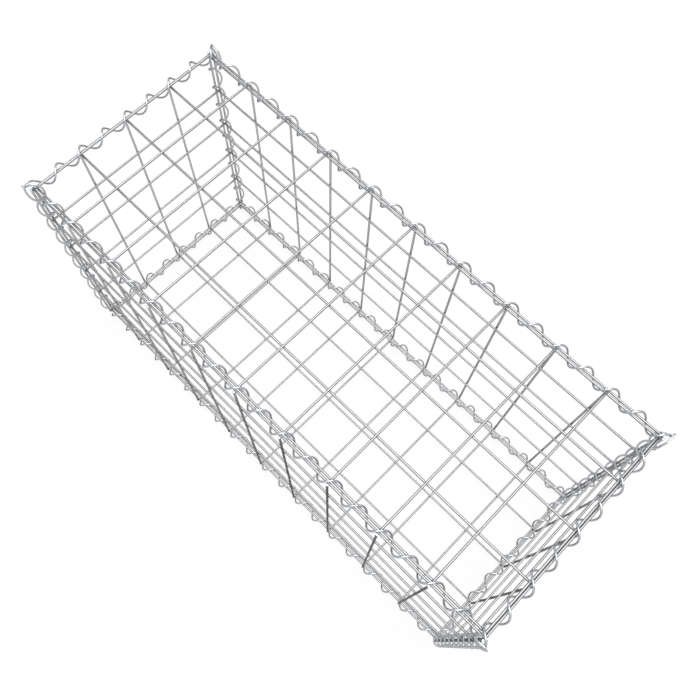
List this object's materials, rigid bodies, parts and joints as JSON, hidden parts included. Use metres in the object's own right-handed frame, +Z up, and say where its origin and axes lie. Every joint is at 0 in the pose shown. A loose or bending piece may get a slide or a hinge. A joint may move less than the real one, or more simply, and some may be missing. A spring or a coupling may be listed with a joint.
{
  "type": "gabion basket",
  "caption": "Closed rectangular gabion basket of welded steel mesh panels, laced together along every edge by wire coils.",
  "frame": {"origin": "middle of the footprint, at the height of the lowest coils, on which the basket stands", "axes": "+X along the length, +Y from the front panel to the back panel, +Z up"},
  "size_m": [1.033, 0.4318, 0.5263],
  "materials": {
    "mesh_wire": "satin",
    "coil_wire": "satin"
  },
  "bodies": {
    "root": {"front_panel": "mesh_wire", "back_panel": "mesh_wire", "left_end_panel": "mesh_wire", "right_end_panel": "mesh_wire", "base_panel": "mesh_wire", "lid_panel": "mesh_wire", "lid_front_coil": "coil_wire", "lid_back_coil": "coil_wire", "lid_left_coil": "coil_wire", "lid_right_coil": "coil_wire", "base_front_coil": "coil_wire", "base_back_coil": "coil_wire", "base_left_coil": "coil_wire", "base_right_coil": "coil_wire", "front_left_corner_coil": "coil_wire", "front_right_corner_coil": "coil_wire", "back_left_corner_coil": "coil_wire", "back_right_corner_coil": "coil_wire"}
  },
  "joints": []
}
